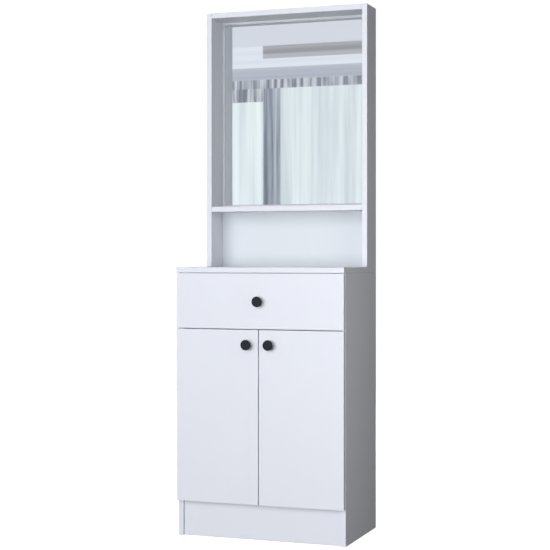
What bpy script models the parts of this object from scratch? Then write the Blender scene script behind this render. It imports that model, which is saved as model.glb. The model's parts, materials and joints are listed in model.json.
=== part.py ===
"""Salon styling station: a base cabinet with a drawer and two doors, and a shallow hutch with a mirror.

Metres, +Z up, +X to the right as seen from the front, -Y towards the person standing in front.
The origin is on the floor, below the middle of the whole object's box.
Doors, drawer and runners are parented to empties that stand on their joint axes.
"""
import math

import bmesh
import bpy
from mathutils import Matrix, Vector

# ---- driving dimensions -------------------------------------------------------------------------
WIDTH = 0.590                # outside, over both side panels
HEIGHT = 1.800               # floor to the top of the hutch
BASE_HEIGHT = 0.904          # floor to the worktop surface
CARCASS_DEPTH = 0.354        # base side panels, front edge to back edge
HUTCH_DEPTH = 0.109
BOARD = 0.018                # melamine-faced board
JOINT_GAP = 0.0003           # kept between pieces that touch
ARRIS = 0.0008               # rounding of the banded board edges

FRONT_T = 0.016              # door and drawer fronts
FRONT_GAP = 0.0025           # air between the carcass's front edge and the back of the fronts
REVEAL = 0.003               # gap between neighbouring fronts
TOP_REVEAL = 0.0015          # gap between the drawer front and the worktop
SIDE_REVEAL = 0.001          # fronts stop this far short of the outside
DRAWER_FRONT_BOTTOM = 0.7008
DOOR_BOTTOM = 0.1207

PLINTH_RECESS = 0.008
DIVIDER_SETBACK = 0.030      # from the carcass front, so that the gap between the fronts stays dark
BOTTOM_PANEL_Z = 0.119       # underside of the cabinet's bottom panel
BACK_T = 0.003               # hardboard back and drawer bottom
CUPBOARD_SHELF_Z = 0.400     # underside of the adjustable shelf
CUPBOARD_SHELF_SETBACK = 0.022

HUTCH_SHELF_TOP = 1.1165
HUTCH_BACK_T = 0.005
MIRROR_T = 0.003
MIRROR_MARGIN = 0.009
TAPE_T = 0.001
TAPE_WIDTH = 0.025

KNOB_HEIGHT = 0.020
KNOB_DISC_T = 0.0055         # thickness of the knob's disc
KNOB_R = 0.0175
KNOB_OFFSET = 0.039          # door knobs, from the middle of the cabinet
KNOB_BELOW_DOOR_TOP = 0.0494
KNOB_BELOW_DRAWER_MIDDLE = 0.0015
SCREW_R = 0.0019
SCREW_CLEARANCE = 0.0004

RUNNER_LENGTH = 0.300
RUNNER_HEIGHT = 0.045
RUNNER_WIDTH = 0.0127        # the space a ball-bearing runner takes beside the drawer
RUNNER_SHEET = 0.0012
RUNNER_Z = 0.775
DRAWER_BOARD = 0.015
DRAWER_SIDE_Z = (0.722, 0.852)

# hinge, in a plane seen from above: u runs inwards from the carcass's outside, v forwards from its
# front edge
HINGE_END_DISTANCE = 0.090   # hinge centre from the door's top and bottom
PIVOT_U = 0.0078
PIVOT_V = 0.0120
CUP_U = 0.0215
CUP_BORE_R = 0.0175
CUP_BORE_DEPTH = 0.013
CUP_R = 0.0172
CUP_WALL = 0.0009
PIN_R = 0.0010
BARREL_R = 0.0018
BARREL_BORE_R = 0.0012
ARM_U = 0.0215               # the side of the hinge arm that lies on the mounting plate
HOOK_HALF = 0.0035           # half the hinge arm's width where it reaches into the cup

BUMPER_R = 0.004
BUMPER_X = 0.020             # from the middle of the cabinet
BUMPER_UP = 0.0085           # from the door's bottom edge
SHELF_PIN_R = 0.0025
OVERCUT = 0.002              # how far a drill or cutter runs past the face it goes through
DOWEL_R = 0.004
DOWEL_LENGTH = 0.030

# ---- places worked out from them ----------------------------------------------------------------
TOTAL_DEPTH = KNOB_HEIGHT + FRONT_T + FRONT_GAP + CARCASS_DEPTH
BACK_Y = TOTAL_DEPTH / 2
CARCASS_FRONT = BACK_Y - CARCASS_DEPTH
FRONT_BACK_FACE = CARCASS_FRONT - FRONT_GAP
FRONT_FACE = FRONT_BACK_FACE - FRONT_T
HUTCH_FRONT = BACK_Y - HUTCH_DEPTH
HALF_W = WIDTH / 2
INNER_X = HALF_W - BOARD
TOP_UNDERSIDE = BASE_HEIGHT - BOARD
DRAWER_FRONT_TOP = TOP_UNDERSIDE - TOP_REVEAL
DOOR_TOP = DRAWER_FRONT_BOTTOM - REVEAL
DIVIDER_MID_Z = (DRAWER_FRONT_BOTTOM + DOOR_TOP) / 2
BACK_FRONT_Y = BACK_Y - BACK_T
DOOR_HINGE_Z = (DOOR_BOTTOM + HINGE_END_DISTANCE, DOOR_TOP - HINGE_END_DISTANCE)
DRAWER_SIDE_X = INNER_X - RUNNER_WIDTH
DRAWER_BACK_END = FRONT_BACK_FACE + JOINT_GAP + RUNNER_LENGTH
RUNNER_FRONT = CARCASS_FRONT + 0.002
KNOB_DOOR_Z = DOOR_TOP - KNOB_BELOW_DOOR_TOP
KNOB_DRAWER_Z = (DRAWER_FRONT_BOTTOM + DRAWER_FRONT_TOP) / 2 - KNOB_BELOW_DRAWER_MIDDLE
SIDES = {"left": -1, "right": 1}


# ---- materials ----------------------------------------------------------------------------------
def make_material(name, color, roughness, metallic=0.0):
    material = bpy.data.materials.new(name)
    material.use_nodes = True
    shader = material.node_tree.nodes["Principled BSDF"]
    shader.inputs["Base Color"].default_value = (*color, 1.0)
    shader.inputs["Roughness"].default_value = roughness
    shader.inputs["Metallic"].default_value = metallic
    material.diffuse_color = (*color, 1.0)
    return material


def make_materials():
    return {
        "white_board": make_material("white_board", (0.82, 0.84, 0.88), 0.35),
        "hardboard": make_material("hardboard", (0.80, 0.81, 0.83), 0.5),
        "mirror": make_material("mirror", (0.92, 0.94, 0.95), 0.02, 1.0),
        "knob_black": make_material("knob_black", (0.022, 0.024, 0.028), 0.45),
        "zinc_steel": make_material("zinc_steel", (0.55, 0.56, 0.58), 0.35, 1.0),
        "nickel": make_material("nickel", (0.62, 0.61, 0.58), 0.28, 1.0),
        "beech": make_material("beech", (0.60, 0.42, 0.26), 0.6),
        "clear_bumper": make_material("clear_bumper", (0.75, 0.76, 0.76), 0.3),
        "foam_tape": make_material("foam_tape", (0.12, 0.12, 0.12), 0.8),
    }


# ---- shape helpers ------------------------------------------------------------------------------
def place(mesh_bm, name, origin, material, parent=None, smooth_angle=None):
    """Turn a bmesh with world coordinates into an object whose origin is at origin."""
    mesh_bm.transform(Matrix.Translation(-Vector(origin)))
    bmesh.ops.recalc_face_normals(mesh_bm, faces=mesh_bm.faces)
    mesh = bpy.data.meshes.new(name)
    mesh_bm.to_mesh(mesh)
    mesh_bm.free()
    if smooth_angle is not None:
        mesh.shade_smooth()
        mesh.set_sharp_from_angle(angle=smooth_angle)
    piece = bpy.data.objects.new(name, mesh)
    bpy.context.scene.collection.objects.link(piece)
    piece.location = Vector(origin)
    if parent is not None:
        piece.parent = parent
        piece.location = Vector(origin) - parent.location
    if material is not None:
        mesh.materials.append(material)
    return piece


def axis_empty(name, location):
    empty = bpy.data.objects.new(name, None)
    empty.empty_display_size = 0.05
    empty.location = location
    bpy.context.scene.collection.objects.link(empty)
    return empty


def box_bmesh(low, high):
    box = bmesh.new()
    bmesh.ops.create_cube(box, size=1.0)
    low = Vector(low)
    high = Vector(high)
    size = high - low
    bmesh.ops.transform(box, matrix=Matrix.Diagonal((*size, 1.0)), verts=box.verts)
    bmesh.ops.translate(box, vec=(low + high) / 2, verts=box.verts)
    return box


def board(name, low, high, material, parent=None, arris=ARRIS):
    """A panel between two corners, with its edges eased by a small round."""
    middle = (Vector(low) + Vector(high)) / 2
    panel = place(box_bmesh(low, high), name, middle, material, parent)
    if arris:
        round_edges = panel.modifiers.new("arris", "BEVEL")
        round_edges.width = arris
        round_edges.segments = 2
        round_edges.limit_method = "ANGLE"
    return panel


def mark_cutter(cutter):
    cutter.hide_render = True
    cutter.display_type = "WIRE"
    return cutter


def boolean(piece, other, operation):
    cut = piece.modifiers.new(operation.lower(), "BOOLEAN")
    cut.operation = operation
    cut.solver = "EXACT"
    cut.object = other


def cylinder_bmesh(start, direction, length, radius, segments=20):
    """A capped cylinder from start along direction."""
    direction = Vector(direction).normalized()
    turn = Vector((0, 0, 1)).rotation_difference(direction).to_matrix().to_4x4()
    rod = bmesh.new()
    middle = Vector(start) + direction * length / 2
    bmesh.ops.create_cone(rod, cap_ends=True, segments=segments, radius1=radius, radius2=radius,
                          depth=length, matrix=Matrix.Translation(middle) @ turn)
    return rod


def cylinder(name, start, direction, length, radius, material, parent=None, segments=20):
    rod = cylinder_bmesh(start, direction, length, radius, segments)
    return place(rod, name, start, material, parent, smooth_angle=math.radians(40))


def bore(piece, start, direction, length, radius, segments=20):
    cutter = cylinder(piece.name + "_bore", start, direction, length, radius, None, piece.parent,
                      segments)
    boolean(piece, mark_cutter(cutter), "DIFFERENCE")


def turned(name, profile, origin, material, parent=None, segments=36):
    """Spin (radius, height) points about the line through origin that points to -Y."""
    lathe = bmesh.new()
    verts = [lathe.verts.new((radius, 0, height)) for radius, height in profile]
    edges = [lathe.edges.new((first, second)) for first, second in zip(verts, verts[1:])]
    bmesh.ops.spin(lathe, geom=verts + edges, axis=(0, 0, 1), cent=(0, 0, 0),
                   angle=math.tau, steps=segments, use_duplicate=False)
    bmesh.ops.remove_doubles(lathe, verts=lathe.verts, dist=1e-6)
    bmesh.ops.rotate(lathe, cent=(0, 0, 0), matrix=Matrix.Rotation(math.radians(90), 3, "X"),
                     verts=lathe.verts)
    bmesh.ops.translate(lathe, vec=origin, verts=lathe.verts)
    return place(lathe, name, origin, material, parent, smooth_angle=math.radians(35))


def prism_bmesh(points, direction):
    """Extrude a closed outline of 3-D points by a vector."""
    solid = bmesh.new()
    face = solid.faces.new([solid.verts.new(point) for point in points])
    grown = bmesh.ops.extrude_face_region(solid, geom=[face])
    moved = [item for item in grown["geom"] if isinstance(item, bmesh.types.BMVert)]
    bmesh.ops.translate(solid, vec=direction, verts=moved)
    return solid


def arc(centre, radius, start_degrees, end_degrees, steps):
    for step in range(steps + 1):
        angle = math.radians(start_degrees + (end_degrees - start_degrees) * step / steps)
        yield (centre[0] + radius * math.cos(angle), centre[1] + radius * math.sin(angle))


# ---- base cabinet -------------------------------------------------------------------------------
def build_base(materials):
    white = materials["white_board"]
    inner = INNER_X - JOINT_GAP
    panel_back = BACK_FRONT_Y - JOINT_GAP
    sides = {}
    for side, sign in SIDES.items():
        edges = sorted((sign * HALF_W, sign * INNER_X))
        sides[side] = board(f"base_side_{side}", (edges[0], CARCASS_FRONT, 0),
                            (edges[1], BACK_Y, TOP_UNDERSIDE - JOINT_GAP), white)
    top = board("base_top", (-HALF_W, FRONT_FACE, TOP_UNDERSIDE), (HALF_W, BACK_Y, BASE_HEIGHT), white)
    board("base_bottom", (-inner, CARCASS_FRONT, BOTTOM_PANEL_Z),
          (inner, panel_back, BOTTOM_PANEL_Z + BOARD), white)
    board("drawer_divider", (-inner, CARCASS_FRONT + DIVIDER_SETBACK, DIVIDER_MID_Z - BOARD / 2),
          (inner, panel_back, DIVIDER_MID_Z + BOARD / 2), white)
    board("plinth", (-inner, CARCASS_FRONT + PLINTH_RECESS, 0),
          (inner, CARCASS_FRONT + PLINTH_RECESS + BOARD, BOTTOM_PANEL_Z - JOINT_GAP), white)
    board("base_back", (-inner, BACK_FRONT_Y, BOTTOM_PANEL_Z), (inner, BACK_Y, TOP_UNDERSIDE - JOINT_GAP),
          materials["hardboard"], arris=0)
    return sides, top


def build_cupboard_shelf(materials, sides):
    """The adjustable shelf on four pins, and the rows of holes that the pins can move to."""
    side_clearance = 0.0008
    pin_inset = 0.037
    pin_depth = 0.008
    pin_proud = 0.007
    hole_extra = 0.0003
    hole_pitch = 0.032
    holes_each_way = 2
    shelf_x = INNER_X - side_clearance
    shelf_front = CARCASS_FRONT + CUPBOARD_SHELF_SETBACK
    board("cupboard_shelf", (-shelf_x, shelf_front, CUPBOARD_SHELF_Z),
          (shelf_x, BACK_FRONT_Y - side_clearance, CUPBOARD_SHELF_Z + BOARD), materials["white_board"])
    pin_z = CUPBOARD_SHELF_Z - JOINT_GAP - SHELF_PIN_R
    for side, sign in SIDES.items():
        for end, pin_y in (("front", CARCASS_FRONT + pin_inset), ("back", BACK_Y - pin_inset)):
            start = (sign * (INNER_X + pin_depth), pin_y, pin_z)
            cylinder(f"shelf_pin_{side}_{end}", start, (-sign, 0, 0), pin_depth + pin_proud, SHELF_PIN_R,
                     materials["nickel"])
            for step in range(-holes_each_way, holes_each_way + 1):
                mouth = (sign * (INNER_X - OVERCUT), pin_y, pin_z + step * hole_pitch)
                bore(sides[side], mouth, (sign, 0, 0), pin_depth + OVERCUT + hole_extra,
                     SHELF_PIN_R + hole_extra, segments=16)


# ---- hutch --------------------------------------------------------------------------------------
def build_hutch(materials, base_top):
    white = materials["white_board"]
    inner = INNER_X - JOINT_GAP
    bottom = BASE_HEIGHT + JOINT_GAP
    back_face = BACK_Y - HUTCH_BACK_T
    for side, sign in SIDES.items():
        edges = sorted((sign * HALF_W, sign * INNER_X))
        panel = board(f"hutch_side_{side}", (edges[0], HUTCH_FRONT, bottom), (edges[1], BACK_Y, HEIGHT),
                      white)
        add_dowels(materials, panel, base_top, side, sign)
    board("hutch_top", (-inner, HUTCH_FRONT, HEIGHT - BOARD), (inner, BACK_Y, HEIGHT), white)
    board("hutch_shelf", (-inner, HUTCH_FRONT, HUTCH_SHELF_TOP - BOARD),
          (inner, back_face - JOINT_GAP, HUTCH_SHELF_TOP), white)
    board("hutch_back", (-inner, back_face, bottom), (inner, BACK_Y, HEIGHT - BOARD - JOINT_GAP), white,
          arris=0)
    build_mirror(materials, back_face)


def add_dowels(materials, panel, base_top, side, sign):
    """Two wooden dowels between the worktop and one hutch side."""
    depth_in_top = 0.013
    clearance = 0.0004
    inset = 0.030
    dowel_x = sign * (HALF_W - BOARD / 2)
    foot = BASE_HEIGHT - depth_in_top
    for end, dowel_y in (("front", HUTCH_FRONT + inset), ("back", BACK_Y - inset)):
        cylinder(f"hutch_dowel_{side}_{end}", (dowel_x, dowel_y, foot), (0, 0, 1), DOWEL_LENGTH, DOWEL_R,
                 materials["beech"], segments=20)
        hole_start = (dowel_x, dowel_y, foot - clearance)
        hole_length = DOWEL_LENGTH + 2 * clearance
        for drilled in (panel, base_top):
            bore(drilled, hole_start, (0, 0, 1), hole_length, DOWEL_R + clearance, segments=20)


def build_mirror(materials, back_face):
    tape_inset = 0.060
    mirror_x = INNER_X - MIRROR_MARGIN
    bottom = HUTCH_SHELF_TOP + MIRROR_MARGIN
    top = HEIGHT - BOARD - MIRROR_MARGIN
    tape_back = back_face - JOINT_GAP
    tape_front = tape_back - TAPE_T
    mirror_back = tape_front - JOINT_GAP
    board("mirror", (-mirror_x, mirror_back - MIRROR_T, bottom), (mirror_x, mirror_back, top),
          materials["mirror"], arris=0.0006)
    for side, sign in SIDES.items():
        middle = sign * (mirror_x - tape_inset)
        board(f"mirror_tape_{side}", (middle - TAPE_WIDTH / 2, tape_front, bottom + tape_inset),
              (middle + TAPE_WIDTH / 2, tape_back, top - tape_inset), materials["foam_tape"], arris=0)


# ---- knobs --------------------------------------------------------------------------------------
def knob_profile():
    """Half outline from the axis at the blind screw hole, round the outside, to the front's middle."""
    hole_r = SCREW_R + SCREW_CLEARANCE
    foot_r = 0.0085
    neck_r = 0.0062
    rim_r = 0.002
    disc_back = KNOB_HEIGHT - KNOB_DISC_T
    crown = 0.0006
    hole_depth = 0.012
    tip = KNOB_HEIGHT - JOINT_GAP
    profile = [(0.0, hole_depth), (hole_r, hole_depth), (hole_r, 0.0), (foot_r, 0.0), (foot_r, 0.0015)]
    profile += [(neck_r + 0.0006, 0.004), (neck_r, 0.008), (neck_r + 0.0015, disc_back - 0.0013),
                (neck_r + 0.005, disc_back)]
    rim = KNOB_R - rim_r
    profile += list(arc((rim, disc_back + rim_r), rim_r, -90, 0, 3))
    profile += list(arc((rim, tip - crown - rim_r), rim_r, 0, 90, 3))
    profile += [(rim / 2, tip - crown / 4), (0.0, tip)]
    return profile


def build_knob(materials, panel, knob_name, screw_name, x, z, parent):
    """A knob on the front of a panel and the screw that holds it, through a hole in the panel."""
    foot = Vector((x, FRONT_FACE - JOINT_GAP, z))
    turned(knob_name, knob_profile(), foot, materials["knob_black"], parent)
    bore(panel, (x, FRONT_BACK_FACE + OVERCUT, z), (0, -1, 0), FRONT_T + 2 * OVERCUT,
         SCREW_R + SCREW_CLEARANCE)
    head_r = 0.0042
    head_t = 0.0022
    head_back = FRONT_BACK_FACE + JOINT_GAP + head_t
    reach = head_t + FRONT_T + 0.009
    profile = [(0.0, 0.0), (head_r * 0.75, 0.0), (head_r, head_t * 0.4), (head_r, head_t),
               (SCREW_R, head_t), (SCREW_R, reach), (0.0, reach + 0.0006)]
    turned(screw_name, profile, Vector((x, head_back, z)), materials["zinc_steel"], parent, segments=16)


# ---- drawer and runners -------------------------------------------------------------------------
def runner_member(name, sign, outline, material, parent=None):
    """Extrude a C section along the drawer's travel. Outline: (distance from the side panel, height)."""
    points = [(sign * (INNER_X - across), RUNNER_FRONT, RUNNER_Z + up) for across, up in outline]
    solid = prism_bmesh(points, (0, RUNNER_LENGTH, 0))
    origin = (sign * INNER_X, RUNNER_FRONT, RUNNER_Z)
    return place(solid, name, origin, material, parent)


def c_section(web, tip, half_height):
    """A channel whose web is at web and whose flanges reach to tip, on either side of it."""
    inside = web + math.copysign(RUNNER_SHEET, tip - web)
    low_in = half_height - RUNNER_SHEET
    return [(web, -half_height), (tip, -half_height), (tip, -low_in), (inside, -low_in),
            (inside, low_in), (tip, low_in), (tip, half_height), (web, half_height)]


def build_drawer(materials):
    white = materials["white_board"]
    steel = materials["zinc_steel"]
    slide = axis_empty("drawer_slide_axis", (0, FRONT_FACE, RUNNER_Z))
    middle_slide = axis_empty("runner_middle_slide_axis", (0, RUNNER_FRONT, RUNNER_Z))
    front_x = HALF_W - SIDE_REVEAL
    front = board("drawer_front", (-front_x, FRONT_FACE, DRAWER_FRONT_BOTTOM),
                  (front_x, FRONT_BACK_FACE, DRAWER_FRONT_TOP), white, slide)
    box_front = FRONT_BACK_FACE + JOINT_GAP
    low, high = DRAWER_SIDE_Z
    outer_section = c_section(web=JOINT_GAP, tip=0.0095, half_height=RUNNER_HEIGHT / 2)
    middle_section = c_section(web=0.0030, tip=0.0100, half_height=0.0185)
    inner_section = c_section(web=RUNNER_WIDTH - JOINT_GAP, tip=0.0055, half_height=0.0150)
    for side, sign in SIDES.items():
        edges = sorted((sign * DRAWER_SIDE_X, sign * (DRAWER_SIDE_X - DRAWER_BOARD)))
        board(f"drawer_side_{side}", (edges[0], box_front, low), (edges[1], DRAWER_BACK_END, high),
              white, slide)
        runner_member(f"runner_outer_{side}", sign, outer_section, steel)
        runner_member(f"runner_middle_{side}", sign, middle_section, steel, middle_slide)
        runner_member(f"runner_inner_{side}", sign, inner_section, steel, slide)
    back_x = DRAWER_SIDE_X - DRAWER_BOARD - JOINT_GAP
    board("drawer_back", (-back_x, DRAWER_BACK_END - DRAWER_BOARD, low), (back_x, DRAWER_BACK_END, high),
          white, slide)
    board("drawer_bottom", (-DRAWER_SIDE_X, box_front, low - JOINT_GAP - BACK_T),
          (DRAWER_SIDE_X, DRAWER_BACK_END, low - JOINT_GAP), materials["hardboard"], slide, arris=0)
    build_knob(materials, front, "drawer_knob", "drawer_knob_screw", 0.0, KNOB_DRAWER_Z, slide)


# ---- doors and hinges ---------------------------------------------------------------------------
def hinge_point(sign, u, v, z):
    """From the hinge plane's own axes to the station's."""
    return Vector((sign * (HALF_W - u), CARCASS_FRONT - v, z))


def hinge_box(sign, u_range, v_range, z, half_height):
    first = hinge_point(sign, u_range[0], v_range[0], z - half_height)
    second = hinge_point(sign, u_range[1], v_range[1], z + half_height)
    low = [min(pair) for pair in zip(first, second)]
    high = [max(pair) for pair in zip(first, second)]
    return box_bmesh(low, high)


def build_hinge_cup(materials, name, sign, z, parent):
    """A pressed cup with a flange on the door's back and the pivot pin across its outer side."""
    flange_t = 0.001
    ear_u = (CUP_U - 0.0015, CUP_U + 0.0105)
    ear_half = 0.027
    flange_v = (FRONT_GAP - JOINT_GAP - flange_t, FRONT_GAP - JOINT_GAP)
    floor_v = FRONT_GAP + CUP_BORE_DEPTH - JOINT_GAP
    centre = hinge_point(sign, CUP_U, flange_v[0], z)
    cup = cylinder(name, centre, (0, -1, 0), floor_v - flange_v[0], CUP_R, materials["nickel"], parent,
                   segments=32)
    ears = place(hinge_box(sign, ear_u, flange_v, z, ear_half), name + "_ears", centre, None, parent)
    boolean(cup, mark_cutter(ears), "UNION")
    hollow_start = hinge_point(sign, CUP_U, flange_v[0] - OVERCUT, z)
    hollow_length = floor_v - flange_v[0] - CUP_WALL + OVERCUT
    hollow = cylinder(name + "_hollow", hollow_start, (0, -1, 0), hollow_length, CUP_R - CUP_WALL, None,
                      parent, segments=32)
    boolean(cup, mark_cutter(hollow), "DIFFERENCE")
    # outside the ears the rim stays below the door's back, clear of the side panel's edge
    low_rim = hinge_box(sign, (CUP_U - 0.020, CUP_U - 0.0025), (flange_v[0] - flange_t, FRONT_GAP), z,
                        0.020)
    boolean(cup, mark_cutter(place(low_rim, name + "_rim", centre, None, parent)), "DIFFERENCE")
    half_chord = math.sqrt((CUP_R - CUP_WALL) ** 2 - (CUP_U - PIVOT_U) ** 2)
    pin_half = half_chord + CUP_WALL * 0.8
    pin = cylinder(name + "_pin", hinge_point(sign, PIVOT_U, PIVOT_V, z - pin_half), (0, 0, 1),
                   2 * pin_half, PIN_R, None, parent, segments=16)
    boolean(cup, mark_cutter(pin), "UNION")


def build_hinge_arm(materials, name, sign, z):
    """A cranked arm: a barrel round the pin, a thin hook, a riser and the arm along the side panel."""
    hook_top = PIVOT_V + 0.0012
    hook_bottom = PIVOT_V - 0.0010
    riser_u = (0.0200, 0.0225)
    arm_u = (ARM_U, 0.0265)
    crank_v = -0.012
    crank_drop = 0.003
    end_v = -0.062
    barrel_opening = 34
    cover_half = 0.0075
    outline = list(arc((PIVOT_U, PIVOT_V), BARREL_R, barrel_opening, 360 - barrel_opening, 14))
    outline += [(riser_u[0], hook_bottom), (riser_u[0], crank_v), (arm_u[0], crank_v - crank_drop),
                (arm_u[0], end_v), (arm_u[1], end_v), (arm_u[1], crank_v - crank_drop),
                (riser_u[1], crank_v), (riser_u[1], hook_top)]
    points = [hinge_point(sign, u, v, z - HOOK_HALF) for u, v in outline]
    pivot = hinge_point(sign, PIVOT_U, PIVOT_V, z)
    arm = place(prism_bmesh(points, (0, 0, 2 * HOOK_HALF)), name, pivot, materials["nickel"])
    below = hinge_point(sign, PIVOT_U, PIVOT_V, z - HOOK_HALF - OVERCUT)
    bore(arm, below, (0, 0, 1), 2 * (HOOK_HALF + OVERCUT), BARREL_BORE_R, segments=16)
    cover_v = (crank_v - 2 * crank_drop, end_v)
    cover = place(hinge_box(sign, arm_u, cover_v, z, cover_half), name + "_cover", pivot, None)
    boolean(arm, mark_cutter(cover), "UNION")


def build_hinge_plate(materials, name, sign, z):
    """The cross-shaped mounting plate between the arm and the side panel."""
    plate_u = (BOARD + JOINT_GAP, ARM_U - JOINT_GAP)
    wing_v = (-0.030, -0.044)
    wing_half = 0.024
    rail_v = (-0.018, -0.060)
    rail_half = 0.007
    centre = hinge_point(sign, BOARD, sum(wing_v) / 2, z)
    plate = place(hinge_box(sign, plate_u, wing_v, z, wing_half), name, centre, materials["nickel"])
    rail = place(hinge_box(sign, plate_u, rail_v, z, rail_half), name + "_rail", centre, None)
    boolean(plate, mark_cutter(rail), "UNION")


def build_doors(materials):
    for side, sign in SIDES.items():
        pivot = hinge_point(sign, PIVOT_U, PIVOT_V, DOOR_BOTTOM)
        axis = axis_empty(f"door_{side}_hinge_axis", pivot)
        edges = sorted((sign * (HALF_W - SIDE_REVEAL), sign * REVEAL / 2))
        door = board(f"door_{side}", (edges[0], FRONT_FACE, DOOR_BOTTOM),
                     (edges[1], FRONT_BACK_FACE, DOOR_TOP), materials["white_board"], axis)
        build_knob(materials, door, f"door_knob_{side}", f"door_knob_screw_{side}", sign * KNOB_OFFSET,
                   KNOB_DOOR_Z, axis)
        for level, z in zip(("lower", "upper"), DOOR_HINGE_Z):
            bore(door, hinge_point(sign, CUP_U, FRONT_GAP - OVERCUT, z), (0, -1, 0),
                 CUP_BORE_DEPTH + OVERCUT, CUP_BORE_R, segments=32)
            build_hinge_cup(materials, f"hinge_cup_{side}_{level}", sign, z, axis)
            build_hinge_arm(materials, f"hinge_arm_{side}_{level}", sign, z)
            build_hinge_plate(materials, f"hinge_plate_{side}_{level}", sign, z)
        bumper_start = (sign * BUMPER_X, FRONT_BACK_FACE + JOINT_GAP, DOOR_BOTTOM + BUMPER_UP)
        cylinder(f"door_bumper_{side}", bumper_start, (0, 1, 0), FRONT_GAP - 2 * JOINT_GAP, BUMPER_R,
                 materials["clear_bumper"], axis)


def main():
    for old in list(bpy.data.objects):
        bpy.data.objects.remove(old, do_unlink=True)
    materials = make_materials()
    sides, base_top = build_base(materials)
    build_cupboard_shelf(materials, sides)
    build_hutch(materials, base_top)
    build_drawer(materials)
    build_doors(materials)
    bpy.context.view_layer.update()


main()
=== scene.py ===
"""Looks of the salon styling station: materials, small hardware, light and camera around the frame."""
import json
import math

import bmesh
import bpy
from mathutils import Matrix, Vector


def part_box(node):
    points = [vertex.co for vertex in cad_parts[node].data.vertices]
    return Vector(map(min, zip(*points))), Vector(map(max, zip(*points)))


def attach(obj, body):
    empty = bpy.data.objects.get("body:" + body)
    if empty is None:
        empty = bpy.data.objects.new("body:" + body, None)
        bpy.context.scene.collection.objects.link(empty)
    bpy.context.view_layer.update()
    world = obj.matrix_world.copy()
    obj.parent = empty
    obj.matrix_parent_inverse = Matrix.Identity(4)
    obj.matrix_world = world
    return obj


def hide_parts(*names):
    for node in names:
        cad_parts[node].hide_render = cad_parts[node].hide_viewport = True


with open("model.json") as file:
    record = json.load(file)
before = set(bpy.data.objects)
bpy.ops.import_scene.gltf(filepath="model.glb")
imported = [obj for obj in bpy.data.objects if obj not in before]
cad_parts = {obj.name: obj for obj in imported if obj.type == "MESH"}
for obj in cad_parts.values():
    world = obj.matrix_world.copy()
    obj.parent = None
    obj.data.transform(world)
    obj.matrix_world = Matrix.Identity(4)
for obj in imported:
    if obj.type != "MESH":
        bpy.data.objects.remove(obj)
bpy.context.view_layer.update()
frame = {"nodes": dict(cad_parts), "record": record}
nodes = frame["nodes"]

CABINET = "cabinet"
SIDES = {"left": -1, "right": 1}
LEVELS = ("lower", "upper")


# ---- camera -------------------------------------------------------------------------------------
def make_camera():
    """The viewpoint: in front of the station and to its right, looking level at half its height."""
    yaw_degrees = 20.117
    beside_it = 1.3353
    in_front = 4.310
    eye_height = 0.9295
    low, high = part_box("base_side_right")
    camera_data = bpy.data.cameras.new("camera")
    camera_data.sensor_width = 36.0
    camera_data.lens = 91.3
    camera_data.shift_y = -0.0279
    camera_data.clip_end = 200.0
    camera = bpy.data.objects.new("camera", camera_data)
    camera.location = (high.x + beside_it, low.y - in_front, eye_height)
    camera.rotation_euler = (math.radians(90), 0.0, math.radians(yaw_degrees))
    bpy.context.scene.collection.objects.link(camera)
    bpy.context.scene.camera = camera


# ---- node helpers -------------------------------------------------------------------------------
def remap(tree, value, start, end, low=0.0, high=1.0):
    """Map a value between start and end onto low and high."""
    node = tree.nodes.new("ShaderNodeMapRange")
    node.inputs["From Min"].default_value = start
    node.inputs["From Max"].default_value = end
    node.inputs["To Min"].default_value = low
    node.inputs["To Max"].default_value = high
    tree.links.new(value, node.inputs["Value"])
    return node.outputs["Result"]


def mix_colors(tree, factor, first, second):
    """Blend two colours, each given as a tuple or as another node's output."""
    node = tree.nodes.new("ShaderNodeMix")
    node.data_type = "RGBA"
    for name, color in (("A_Color", first), ("B_Color", second)):
        socket = next(entry for entry in node.inputs if entry.identifier == name)
        if isinstance(color, tuple):
            socket.default_value = (*color, 1.0)
        else:
            tree.links.new(color, socket)
    tree.links.new(factor, node.inputs["Factor"])
    return next(entry for entry in node.outputs if entry.identifier == "Result_Color")


def mix_shaders(tree, factor, first, second):
    node = tree.nodes.new("ShaderNodeMixShader")
    for socket, source in zip(node.inputs, (factor, first, second)):
        tree.links.new(source, socket)
    return node.outputs[0]


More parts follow.
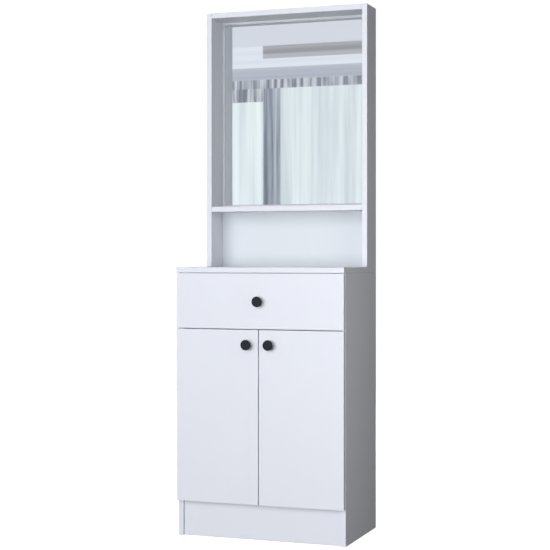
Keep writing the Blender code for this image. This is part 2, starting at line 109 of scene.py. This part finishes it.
class Shader:
    """A material's node tree, with short calls for the nodes used here."""

    def __init__(self, name, color, roughness, metallic=0.0):
        self.material = bpy.data.materials.new(name)
        self.material.use_nodes = True
        self.tree = self.material.node_tree
        self.bsdf = self.tree.nodes["Principled BSDF"]
        self.set("Base Color", (*color, 1.0))
        self.set("Roughness", roughness)
        self.set("Metallic", metallic)
        self.color = color
        self.coords = self.tree.nodes.new("ShaderNodeTexCoord").outputs["Object"]

    def set(self, socket, value):
        self.bsdf.inputs[socket].default_value = value

    def link(self, source, target):
        self.tree.links.new(source, target)

    def scaled(self, scale):
        mapping = self.tree.nodes.new("ShaderNodeMapping")
        mapping.inputs["Scale"].default_value = scale
        self.link(self.coords, mapping.inputs["Vector"])
        return mapping.outputs["Vector"]

    def noise(self, scale, detail=3.0, roughness=0.5, stretch=(1, 1, 1)):
        noise = self.tree.nodes.new("ShaderNodeTexNoise")
        noise.inputs["Scale"].default_value = scale
        noise.inputs["Detail"].default_value = detail
        noise.inputs["Roughness"].default_value = roughness
        self.link(self.scaled(stretch), noise.inputs["Vector"])
        return noise.outputs["Fac"]

    def spread(self, value, low, high, start=0.3, end=0.7):
        """Map a noise's middle range, or another range, onto low and high."""
        return remap(self.tree, value, start, end, low, high)

    def mix(self, factor, first, second):
        return mix_colors(self.tree, factor, first, second)

    def math(self, operation, value, *numbers):
        node = self.tree.nodes.new("ShaderNodeMath")
        node.operation = operation
        self.link(value, node.inputs[0])
        for place, number in enumerate(numbers, start=1):
            node.inputs[place].default_value = number
        return node.outputs[0]

    def tint(self, factor, amount):
        """Vary the base colour from amount darker to amount lighter."""
        darker = tuple(channel * (1 - amount) for channel in self.color)
        lighter = tuple(min(channel * (1 + amount), 1.0) for channel in self.color)
        self.link(self.mix(factor, darker, lighter), self.bsdf.inputs["Base Color"])

    def glow_in(self, color):
        self.link(color, self.bsdf.inputs["Emission Color"])

    def vary_roughness(self, factor, low, high):
        self.link(self.spread(factor, low, high), self.bsdf.inputs["Roughness"])

    def bump(self, height, strength, distance, under=None):
        """Emboss the surface by a height, on top of another bump's normal if one is given."""
        bump = self.tree.nodes.new("ShaderNodeBump")
        bump.inputs["Strength"].default_value = strength
        bump.inputs["Distance"].default_value = distance
        self.link(height, bump.inputs["Height"])
        if under is not None:
            self.link(under, bump.inputs["Normal"])
        self.link(bump.outputs["Normal"], self.bsdf.inputs["Normal"])
        return bump.outputs["Normal"]


# ---- materials ----------------------------------------------------------------------------------
def white_melamine():
    """Melamine-faced board: a fine pebbled press texture under a satin sheen."""
    shader = Shader("white_melamine", (0.745, 0.76, 0.80), 0.38)
    shader.set("Specular IOR Level", 0.45)
    shader.tint(shader.noise(6.0, detail=4.0), 0.012)
    shader.vary_roughness(shader.noise(55.0, detail=2.0), 0.34, 0.44)
    pebbles = shader.bump(shader.noise(1500.0, detail=2.0, roughness=0.6), 0.10, 0.0002)
    shader.bump(shader.noise(2.2, detail=1.0), 0.05, 0.004, under=pebbles)
    return shader.material


def back_lacquer_painted_shade():
    """The hutch's thin back: the boards' white in a flatter lacquer, with painted shade: its colour is set
    darker and a shade less blue than the boards' to stand in for the shade on the back panel.
    """
    # Painted shade: this base colour is a darker copy of the boards' white, so the back looks shaded.
    shader = Shader("back_lacquer_painted_shade", (0.685, 0.71, 0.727), 0.5)
    shader.set("Specular IOR Level", 0.4)
    shader.tint(shader.noise(5.0, detail=3.0), 0.01)
    shader.vary_roughness(shader.noise(40.0, detail=2.0), 0.46, 0.56)
    shader.bump(shader.noise(1200.0, detail=3.0, roughness=0.6), 0.12, 0.0002)
    return shader.material


def white_hardboard():
    """Thin pressed fibre board with a thin white lacquer: duller, with faint fibres."""
    shader = Shader("white_hardboard", (0.69, 0.70, 0.725), 0.55)
    shader.tint(shader.noise(240.0, detail=5.0, roughness=0.7), 0.05)
    shader.vary_roughness(shader.noise(30.0), 0.48, 0.62)
    shader.bump(shader.noise(900.0, detail=4.0, roughness=0.7), 0.18, 0.0003)
    return shader.material


def black_powder_coat():
    shader = Shader("black_powder_coat", (0.007, 0.009, 0.014), 0.5)
    shader.set("Specular IOR Level", 0.38)
    shader.tint(shader.noise(400.0), 0.12)
    shader.vary_roughness(shader.noise(160.0, detail=2.0), 0.44, 0.56)
    shader.bump(shader.noise(2600.0, detail=2.0), 0.16, 0.0001)
    return shader.material


def silvered_glass():
    """The silver behind the glass as seen from the front: a clean mirror with a faint cool tint."""
    shader = Shader("silvered_glass", (0.90, 0.925, 0.93), 0.012, metallic=1.0)
    shader.tint(shader.noise(1.5, detail=1.0), 0.004)
    shader.vary_roughness(shader.noise(8.0, detail=2.0), 0.008, 0.02)
    return shader.material


def glass_edge():
    """The ground edge of thin float glass: frosted white with a breath of green."""
    shader = Shader("glass_edge", (0.80, 0.88, 0.87), 0.3)
    shader.set("Coat Weight", 0.6)
    shader.tint(shader.noise(300.0, stretch=(1, 1, 0.1)), 0.06)
    shader.bump(shader.noise(1800.0), 0.1, 0.0001)
    return shader.material


def zinc_plated():
    """Rolled and zinc-plated sheet, with faint lines along the runner."""
    shader = Shader("zinc_plated", (0.60, 0.61, 0.63), 0.34, metallic=1.0)
    lines = shader.noise(420.0, detail=3.0, stretch=(1, 0.02, 1))
    shader.tint(lines, 0.08)
    shader.vary_roughness(shader.noise(90.0), 0.26, 0.42)
    shader.bump(lines, 0.08, 0.0001)
    return shader.material


def nickel_plated():
    shader = Shader("nickel_plated", (0.66, 0.645, 0.61), 0.24, metallic=1.0)
    shader.tint(shader.noise(70.0), 0.05)
    shader.vary_roughness(shader.noise(130.0), 0.18, 0.32)
    shader.bump(shader.noise(700.0), 0.05, 0.0001)
    return shader.material


def beech():
    shader = Shader("beech", (0.58, 0.38, 0.22), 0.6)
    shader.tint(shader.noise(260.0, detail=4.0, stretch=(1, 1, 0.08)), 0.2)
    shader.bump(shader.noise(700.0, stretch=(1, 1, 0.1)), 0.3, 0.0002)
    return shader.material


def clear_rubber():
    shader = Shader("clear_rubber", (0.72, 0.73, 0.74), 0.25)
    shader.set("Transmission Weight", 0.6)
    shader.set("IOR", 1.42)
    shader.vary_roughness(shader.noise(200.0), 0.2, 0.34)
    return shader.material


def foam_tape():
    shader = Shader("foam_tape", (0.10, 0.10, 0.105), 0.85)
    shader.tint(shader.noise(600.0), 0.3)
    shader.bump(shader.noise(2000.0), 0.5, 0.0002)
    return shader.material


def white_plastic():
    """Caps over the cam locks: smoother and a touch warmer than the board."""
    shader = Shader("white_plastic", (0.745, 0.755, 0.775), 0.3)
    shader.tint(shader.noise(90.0), 0.01)
    shader.bump(shader.noise(900.0), 0.04, 0.0001)
    return shader.material


MATERIALS = {
    "white_board": white_melamine(),
    "hardboard": white_hardboard(),
    "knob_black": black_powder_coat(),
    "mirror": silvered_glass(),
    "zinc_steel": zinc_plated(),
    "nickel": nickel_plated(),
    "beech": beech(),
    "clear_bumper": clear_rubber(),
    "foam_tape": foam_tape(),
}
GLASS_EDGE = glass_edge()
WHITE_PLASTIC = white_plastic()
BACK_LACQUER_PAINTED_SHADE = back_lacquer_painted_shade()


def dress_frame():
    """Give each CAD node the finish of its slot."""
    for part in frame["record"]["subparts"]:
        piece = nodes[part["node"]]
        piece.data.materials.clear()
        piece.data.materials.append(MATERIALS[part["material_slot"]])
    # The hutch back gets the darker copy of the white, as painted shade.
    nodes["hutch_back"].data.materials[0] = BACK_LACQUER_PAINTED_SHADE


# ---- mesh helpers -------------------------------------------------------------------------------
def piece_from(mesh_bm, name, materials, body, smooth_degrees=35):
    """Make an object of the mesh, smooth up to an angle, that rides on a body."""
    bmesh.ops.recalc_face_normals(mesh_bm, faces=mesh_bm.faces)
    mesh = bpy.data.meshes.new(name)
    mesh_bm.to_mesh(mesh)
    mesh_bm.free()
    mesh.shade_smooth()
    mesh.set_sharp_from_angle(angle=math.radians(smooth_degrees))
    for material in materials:
        mesh.materials.append(material)
    piece = bpy.data.objects.new(name, mesh)
    bpy.context.scene.collection.objects.link(piece)
    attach(piece, body)
    return piece


def facing(direction):
    """A rotation that turns +Z to direction."""
    return Vector((0, 0, 1)).rotation_difference(Vector(direction)).to_matrix().to_4x4()


def ring_point(matrix, radius, height, step, count):
    """The point number step of count points round a circle."""
    turn = math.tau * step / count
    return matrix @ Vector((radius * math.cos(turn), radius * math.sin(turn), height))


def add_turned(mesh_bm, profile, at, direction, segments=48):
    """Add a body of revolution: (radius, height) points, with height along direction from at."""
    matrix = Matrix.Translation(Vector(at)) @ facing(direction)
    rings = []
    for radius, height in profile:
        count = segments if radius > 0.0 else 1
        rings.append([mesh_bm.verts.new(ring_point(matrix, radius, height, step, count))
                      for step in range(count)])
    for lower, upper in zip(rings, rings[1:]):
        for step in range(segments):
            following = (step + 1) % segments
            if len(lower) == 1:
                mesh_bm.faces.new((lower[0], upper[step], upper[following]))
            elif len(upper) == 1:
                mesh_bm.faces.new((lower[step], lower[following], upper[0]))
            else:
                mesh_bm.faces.new((lower[step], lower[following], upper[following], upper[step]))


def arc(centre, radius, start_degrees, end_degrees, steps):
    """The points of an arc, with both its ends."""
    for step in range(steps + 1):
        angle = math.radians(start_degrees + (end_degrees - start_degrees) * step / steps)
        yield (centre[0] + radius * math.cos(angle), centre[1] + radius * math.sin(angle))


# ---- knobs --------------------------------------------------------------------------------------
def knob_profile(radius, height):
    """From the screw hole round the foot, neck and disc to the middle of the slightly crowned front."""
    hole_r = 0.0023
    hole_depth = 0.0122
    foot_r = 0.0085
    foot_shoulder = 0.0010
    foot_corner_r = 0.0004
    foot_undercut = 0.0002
    neck_r = 0.0062
    neck_start = 0.0052
    foot_fillet_r = 0.0022
    disc_fillet_r = 0.0036
    disc_t = 0.0052
    disc_back = height - disc_t
    back_rise = 0.0016
    rim_r = 0.0014
    edge = radius - rim_r
    crown = 0.0006
    crown_steps = 4
    profile = [(0.0, hole_depth), (hole_r, hole_depth), (hole_r, 0.0), (foot_r - foot_undercut, 0.0)]
    profile += arc((foot_r - foot_corner_r, foot_shoulder), foot_corner_r, 0, 90, 3)
    profile += arc((neck_r + foot_fillet_r, neck_start), foot_fillet_r, -120, -180, 6)
    profile += arc((neck_r + disc_fillet_r, disc_back - disc_fillet_r), disc_fillet_r, 180, 95, 8)
    profile += arc((edge, disc_back + back_rise + rim_r), rim_r, -84, 0, 8)
    profile += arc((edge, height - crown - rim_r), rim_r, 0, 84, 8)
    for step in range(1, crown_steps + 1):
        outward = 1 - step / crown_steps
        profile.append((edge * outward, height - crown * outward ** 2))
    return profile


def make_knobs():
    bodies = {"drawer_knob": "drawer", "door_knob_left": "door_left", "door_knob_right": "door_right"}
    for node, body in bodies.items():
        low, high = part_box(node)
        radius = (high.x - low.x) / 2
        foot = ((low.x + high.x) / 2, high.y, (low.z + high.z) / 2)
        knob = bmesh.new()
        add_turned(knob, knob_profile(radius, high.y - low.y), foot, (0, -1, 0), segments=96)
        piece = piece_from(knob, node + "_turned", [MATERIALS["knob_black"]], body, 50)
        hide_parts(node)


# ---- mirror -------------------------------------------------------------------------------------
def make_mirror():
    """A float-glass plate with ground edges: silvered face, frosted edge."""
    low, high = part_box("mirror")
    middle = (low + high) / 2
    arris = 0.0015
    plate = bmesh.new()
    bmesh.ops.create_cube(plate, size=1.0)
    bmesh.ops.transform(plate, matrix=Matrix.Diagonal((*(high - low), 1.0)), verts=plate.verts)
    bmesh.ops.translate(plate, vec=middle, verts=plate.verts)
    front = [edge for edge in plate.edges if all(vert.co.y < middle.y for vert in edge.verts)]
    bmesh.ops.bevel(plate, geom=front, offset=arris, segments=2, affect="EDGES")
    for face in plate.faces:
        faces_forward = face.normal.y < -0.9
        face.material_index = 0 if faces_forward else 1
    materials = [MATERIALS["mirror"], GLASS_EDGE]
    piece = piece_from(plate, "mirror_plate", materials, CABINET, 20)
    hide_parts("mirror")


# ---- small hardware -----------------------------------------------------------------------------
FACE_GAP = 0.00005  # between a board's face and the rim of a cap or nail head on it


def add_screw_head(mesh_bm, at, direction, radius, proud):
    """A domed head with a cross recess, standing proud of the surface and sunk a little into it."""
    sunk = 0.0002
    recess_r = radius * 0.42
    dome = [(radius, -sunk), (radius, proud * 0.35), (radius * 0.86, proud * 0.8),
            (radius * 0.55, proud), (recess_r, proud)]
    add_turned(mesh_bm, dome, at, direction, segments=24)
    add_cross_recess(mesh_bm, at, direction, recess_r, proud)


def add_cross_recess(mesh_bm, at, direction, radius, proud):
    """Close the ring at the head's middle with a recess of four arms."""
    matrix = Matrix.Translation(Vector(at)) @ facing(direction)
    depth = proud * 0.9
    count = 24
    rim = []
    floor = []
    for step in range(count):
        in_arm = step % (count // 4) == 0
        reach = radius * (0.92 if in_arm else 0.40)
        height = proud - depth * 0.5 if in_arm else proud
        rim.append(mesh_bm.verts.new(ring_point(matrix, radius, proud, step, count)))
        floor.append(mesh_bm.verts.new(ring_point(matrix, reach, height, step, count)))
    middle = mesh_bm.verts.new(matrix @ Vector((0, 0, proud - depth)))
    for step in range(count):
        following = (step + 1) % count
        mesh_bm.faces.new((rim[step], rim[following], floor[following], floor[step]))
        mesh_bm.faces.new((floor[step], floor[following], middle))


def make_screws(name, body, places, direction, head_r, proud):
    """One piece with a screw head at each place."""
    heads = bmesh.new()
    for at in places:
        add_screw_head(heads, at, direction, head_r, proud)
    piece_from(heads, name, [MATERIALS["nickel"]], body)


def make_hinge_screws():
    """Two screws each on a hinge's plate, on its arm and on its cup's ears."""
    head_r = 0.0034
    proud = 0.0012
    plate_screw_z = 0.0185
    arm_screws_back = (0.012, 0.036)
    ear_screw_z = 0.0225
    ear_from_middle = 0.0045
    for side, sign in SIDES.items():
        inward = (-sign, 0, 0)
        for level in LEVELS:
            hinge = f"{side}_{level}"
            low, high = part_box(f"hinge_plate_{hinge}")
            middle = (low + high) / 2
            inner_x = low.x if sign > 0 else high.x
            places = [(inner_x, middle.y, middle.z + end * plate_screw_z) for end in (-1, 1)]
            make_screws(f"hinge_plate_screws_{hinge}", CABINET, places, inward, head_r, proud)

            low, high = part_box(f"hinge_arm_{hinge}")
            middle = (low + high) / 2
            inner_x = low.x if sign > 0 else high.x
            places = [(inner_x, high.y - back, middle.z) for back in arm_screws_back]
            make_screws(f"hinge_arm_screws_{hinge}", CABINET, places, inward, head_r * 0.95, proud)

            low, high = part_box(f"hinge_cup_{hinge}")
            middle = (low + high) / 2
            ear_x = middle.x - sign * ear_from_middle
            places = [(ear_x, high.y, middle.z + end * ear_screw_z) for end in (-1, 1)]
            make_screws(f"hinge_cup_screws_{hinge}", f"door_{side}", places, (0, 1, 0), head_r, proud * 0.8)


def make_cam_covers():
    """White caps over the cam locks, on the faces that the front doesn't show."""
    radius = 0.0085
    thickness = 0.0007
    bevel = 0.0004
    dished = thickness * 0.7
    inset = 0.034
    above_drawer_bottom = 0.035
    below_drawer_rim = 0.030
    rows = [
        ("hutch_top", (0, 0, 1), (0.028, 0.081)),
        ("hutch_shelf", (0, 0, -1), (0.026, 0.078)),
        ("drawer_divider", (0, 0, -1), (0.050, 0.290)),
        ("base_bottom", (0, 0, -1), (0.060, 0.290)),
    ]
    profile = [(radius, FACE_GAP), (radius, thickness * 0.6), (radius - bevel, thickness),
               (radius * 0.35, thickness), (radius * 0.3, dished), (0.0, dished)]
    for node, direction, offsets in rows:
        low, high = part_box(node)
        face_z = high.z if direction[2] > 0 else low.z
        caps = bmesh.new()
        for x in (low.x + inset, high.x - inset):
            for offset in offsets:
                add_turned(caps, profile, (x, low.y + offset, face_z), direction, segments=40)
        piece_from(caps, f"cam_covers_{node}", [WHITE_PLASTIC], CABINET)
    for side, sign in SIDES.items():
        low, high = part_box(f"drawer_side_{side}")
        face_x = low.x if sign > 0 else high.x
        caps = bmesh.new()
        for z in (low.z + above_drawer_bottom, high.z - below_drawer_rim):
            add_turned(caps, profile, (face_x, low.y + inset, z), (-sign, 0, 0), segments=40)
        piece_from(caps, f"cam_covers_drawer_side_{side}", [WHITE_PLASTIC], "drawer")


def make_back_nails():
    """Flat nail heads round the edges of the two back panels."""
    radius = 0.0022
    proud = 0.0005
    spacing = 0.090
    inset = 0.006
    profile = [(radius, FACE_GAP), (radius, proud * 0.6), (radius * 0.8, proud), (0.0, proud)]
    for node in ("base_back", "hutch_back"):
        low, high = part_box(node)
        columns = max(2, round((high.x - low.x) / spacing))
        rows = max(2, round((high.z - low.z) / spacing))
        left = low.x + inset
        right = high.x - inset
        bottom = low.z + inset
        top = high.z - inset
        across = [left + (right - left) * column / columns for column in range(columns + 1)]
        upward = [bottom + (top - bottom) * row / rows for row in range(1, rows)]
        places = [(x, z) for x in across for z in (bottom, top)]
        places += [(x, z) for z in upward for x in (left, right)]
        heads = bmesh.new()
        for x, z in places:
            add_turned(heads, profile, (x, high.y, z), (0, 1, 0), segments=16)
        piece_from(heads, f"nails_{node}", [MATERIALS["zinc_steel"]], CABINET)


# ---- studio -------------------------------------------------------------------------------------
def make_floor():
    """A pale floor that reaches far behind the station, just under its feet."""
    half = 60.0
    z = -0.0005
    mesh = bpy.data.meshes.new("floor")
    corners = [(-half, -half, z), (half, -half, z), (half, half, z), (-half, half, z)]
    mesh.from_pydata(corners, [], [(0, 1, 2, 3)])
    floor = bpy.data.objects.new("floor", mesh)
    bpy.context.scene.collection.objects.link(floor)
    shader = Shader("pale_floor", (0.86, 0.865, 0.875), 0.7)
    shader.set("Emission Color", (1.0, 1.0, 1.0, 1.0))
    shader.set("Emission Strength", 0.93)
    shader.tint(shader.noise(0.8), 0.01)
    mesh.materials.append(shader.material)
    floor.visible_diffuse = False
    floor.visible_glossy = False


def area_light(name, location, target, size, power, color):
    """A soft rectangular lamp aimed at a target, which neither the camera nor reflections see."""
    data = bpy.data.lights.new(name, "AREA")
    data.shape = "RECTANGLE"
    data.size, data.size_y = size
    data.energy = power
    data.color = color
    light = bpy.data.objects.new(name, data)
    light.location = location
    direction = Vector(target) - Vector(location)
    light.rotation_euler = direction.to_track_quat("-Z", "Y").to_euler()
    light.visible_camera = False
    light.visible_glossy = False
    bpy.context.scene.collection.objects.link(light)


def reflected(name, corners, shader):
    """A glowing panel of the studio that only reflections see."""
    mesh = bpy.data.meshes.new(name)
    mesh.from_pydata(corners, [], [(0, 1, 2, 3)])
    mesh.materials.append(shader.material)
    panel = bpy.data.objects.new(name, mesh)
    bpy.context.scene.collection.objects.link(panel)
    panel.visible_camera = False
    panel.visible_diffuse = False
    panel.visible_shadow = False
    panel.visible_transmission = False


def glow(name):
    """A material that only glows, in a colour to be linked by its caller."""
    shader = Shader(name, (0.0, 0.0, 0.0), 1.0)
    shader.set("Specular IOR Level", 0.0)
    shader.set("Emission Strength", 1.0)
    return shader


def make_reflected_studio():
    """What stands opposite the mirror: a pleated white diffuser, the cornice over it and the ceiling."""
    wall_y = -7.0
    half_w = 12.0
    ceiling_z = 2.865
    ceiling_end_y = -1.0
    diffuser_top = 2.48
    heading_top = 2.56
    deep_heading_bottom = 2.36
    frieze_bottom = 2.67
    step_bottom = 2.75
    in_front = 0.01
    period = 1.5
    gap_left = -2.82
    gap_share = 0.11
    gap_blur = 0.005
    whole_periods = 10

    def upright(name, shader, x_range, z_range, forward=0.0):
        (left, right), (bottom, top) = x_range, z_range
        y = wall_y + forward
        reflected(name, [(left, y, bottom), (right, y, bottom), (right, y, top), (left, y, top)], shader)

    def streaks(shader, noise, start, end, dark, light):
        """Blend two colours along a noise, with the change between its values start and end."""
        return shader.mix(shader.spread(noise, 0.0, 1.0, start=start, end=end), dark, light)

    whole_width = (-half_w, half_w)
    diffuser = glow("diffuser")
    folds = diffuser.noise(9.0, detail=4.0, roughness=0.65, stretch=(1, 1, 0.03))
    cloth = streaks(diffuser, folds, 0.35, 0.6, (0.69, 0.745, 0.80), (0.91, 0.985, 1.0))
    lines = diffuser.noise(22.0, detail=3.0, roughness=0.7, stretch=(1, 1, 0.02))
    dim = streaks(diffuser, lines, 0.38, 0.62, (0.20, 0.22, 0.28), (0.56, 0.60, 0.67))
    split = diffuser.tree.nodes.new("ShaderNodeSeparateXYZ")
    diffuser.link(diffuser.coords, split.inputs[0])
    shift = whole_periods - gap_left / period
    periods = diffuser.math("MULTIPLY_ADD", split.outputs["X"], 1 / period, shift)
    phase = diffuser.math("FRACT", periods)
    in_gap = diffuser.spread(phase, 1.0, 0.0, start=gap_share - gap_blur, end=gap_share + gap_blur)
    diffuser.glow_in(diffuser.mix(in_gap, cloth, dim))
    upright("diffuser", diffuser, whole_width, (0.0, diffuser_top))

    heading = glow("heading")
    pleats = heading.noise(16.0, detail=2.0, roughness=0.6, stretch=(1, 1, 0.05))
    heading.glow_in(streaks(heading, pleats, 0.42, 0.58, (0.24, 0.255, 0.30), (0.66, 0.69, 0.75)))
    upright("heading", heading, whole_width, (diffuser_top, heading_top))
    upright("deep_heading", heading, (gap_left - period * (1 - gap_share), gap_left),
            (deep_heading_bottom, diffuser_top), forward=in_front)

    def cornice_strip(name, dark, light, x_range, z_range, forward=0.0):
        """A strip with level mouldings."""
        shader = glow(name)
        mouldings = shader.noise(14.0, detail=2.0, stretch=(0.003, 1, 1))
        shader.glow_in(streaks(shader, mouldings, 0.4, 0.6, dark, light))
        upright(name, shader, x_range, z_range, forward)

    cornice_strip("track", (0.42, 0.45, 0.52), (0.60, 0.63, 0.70), whole_width,
                  (heading_top, frieze_bottom))
    cornice_strip("frieze", (0.77, 0.80, 0.88), (0.84, 0.87, 0.95), whole_width,
                  (frieze_bottom, ceiling_z))
    cornice_strip("step", (0.25, 0.25, 0.28), (0.50, 0.505, 0.55), (gap_left, half_w),
                  (step_bottom, ceiling_z), forward=in_front)

    ceiling = glow("ceiling")
    ceiling.glow_in(ceiling.mix(ceiling.noise(0.35, detail=1.0), (0.69, 0.71, 0.78), (0.77, 0.79, 0.86)))
    reflected("ceiling", [(-half_w, wall_y, ceiling_z), (half_w, wall_y, ceiling_z),
                          (half_w, ceiling_end_y, ceiling_z), (-half_w, ceiling_end_y, ceiling_z)], ceiling)


def make_world():
    """White for the camera, a pale room in reflections, and a soft ambient light for all the rest."""
    world = bpy.data.worlds.new("studio")
    world.use_nodes = True
    tree = world.node_tree
    ambient = tree.nodes["Background"]
    ambient.inputs["Color"].default_value = (1.0, 0.99, 0.98, 1.0)
    ambient.inputs["Strength"].default_value = 0.113

    white = tree.nodes.new("ShaderNodeBackground")
    white.inputs["Color"].default_value = (1.0, 1.0, 1.0, 1.0)
    white.inputs["Strength"].default_value = 1.02

    direction = tree.nodes.new("ShaderNodeSeparateXYZ")
    tree.links.new(tree.nodes.new("ShaderNodeTexCoord").outputs["Generated"], direction.inputs[0])

    floor_color = (0.44, 0.45, 0.48)
    wall_color = (0.74, 0.77, 0.83)
    dark_behind = (0.105, 0.105, 0.105)
    upward = remap(tree, direction.outputs["Z"], -0.05, 0.05)
    backward = remap(tree, direction.outputs["Y"], -0.35, 0.0)
    in_front = mix_colors(tree, upward, floor_color, wall_color)
    room = tree.nodes.new("ShaderNodeBackground")
    tree.links.new(mix_colors(tree, backward, in_front, dark_behind), room.inputs["Color"])

    path = tree.nodes.new("ShaderNodeLightPath")
    lighting = mix_shaders(tree, path.outputs["Is Glossy Ray"], ambient.outputs[0], room.outputs[0])
    surface = mix_shaders(tree, path.outputs["Is Camera Ray"], lighting, white.outputs[0])
    tree.links.new(surface, tree.nodes["World Output"].inputs["Surface"])
    bpy.context.scene.world = world


def make_studio():
    make_floor()
    make_world()
    make_reflected_studio()
    daylight = (0.935, 0.952, 1.0)
    area_light("front_box", (-0.7, -4.4, 2.0), (0.0, 0.0, 1.0), (4.4, 3.0), 140.0, daylight)
    area_light("low_box", (-0.4, -6.5, 0.55), (0.0, 0.0, 0.6), (5.0, 1.0), 157.0, daylight)
    area_light("side_box", (1.2, -0.65, 1.0), (0.3, 0.0, 1.0), (0.5, 2.0), 5.3, (0.97, 0.985, 1.0))
    area_light("back_box", (-1.3, 3.2, 3.0), (0.0, 0.1, 1.2), (2.0, 2.0), 134.0, daylight)
    bpy.context.scene.view_settings.view_transform = "Standard"


def main():
    make_camera()
    dress_frame()
    make_knobs()
    make_mirror()
    make_hinge_screws()
    make_cam_covers()
    make_back_nails()
    make_studio()


main()
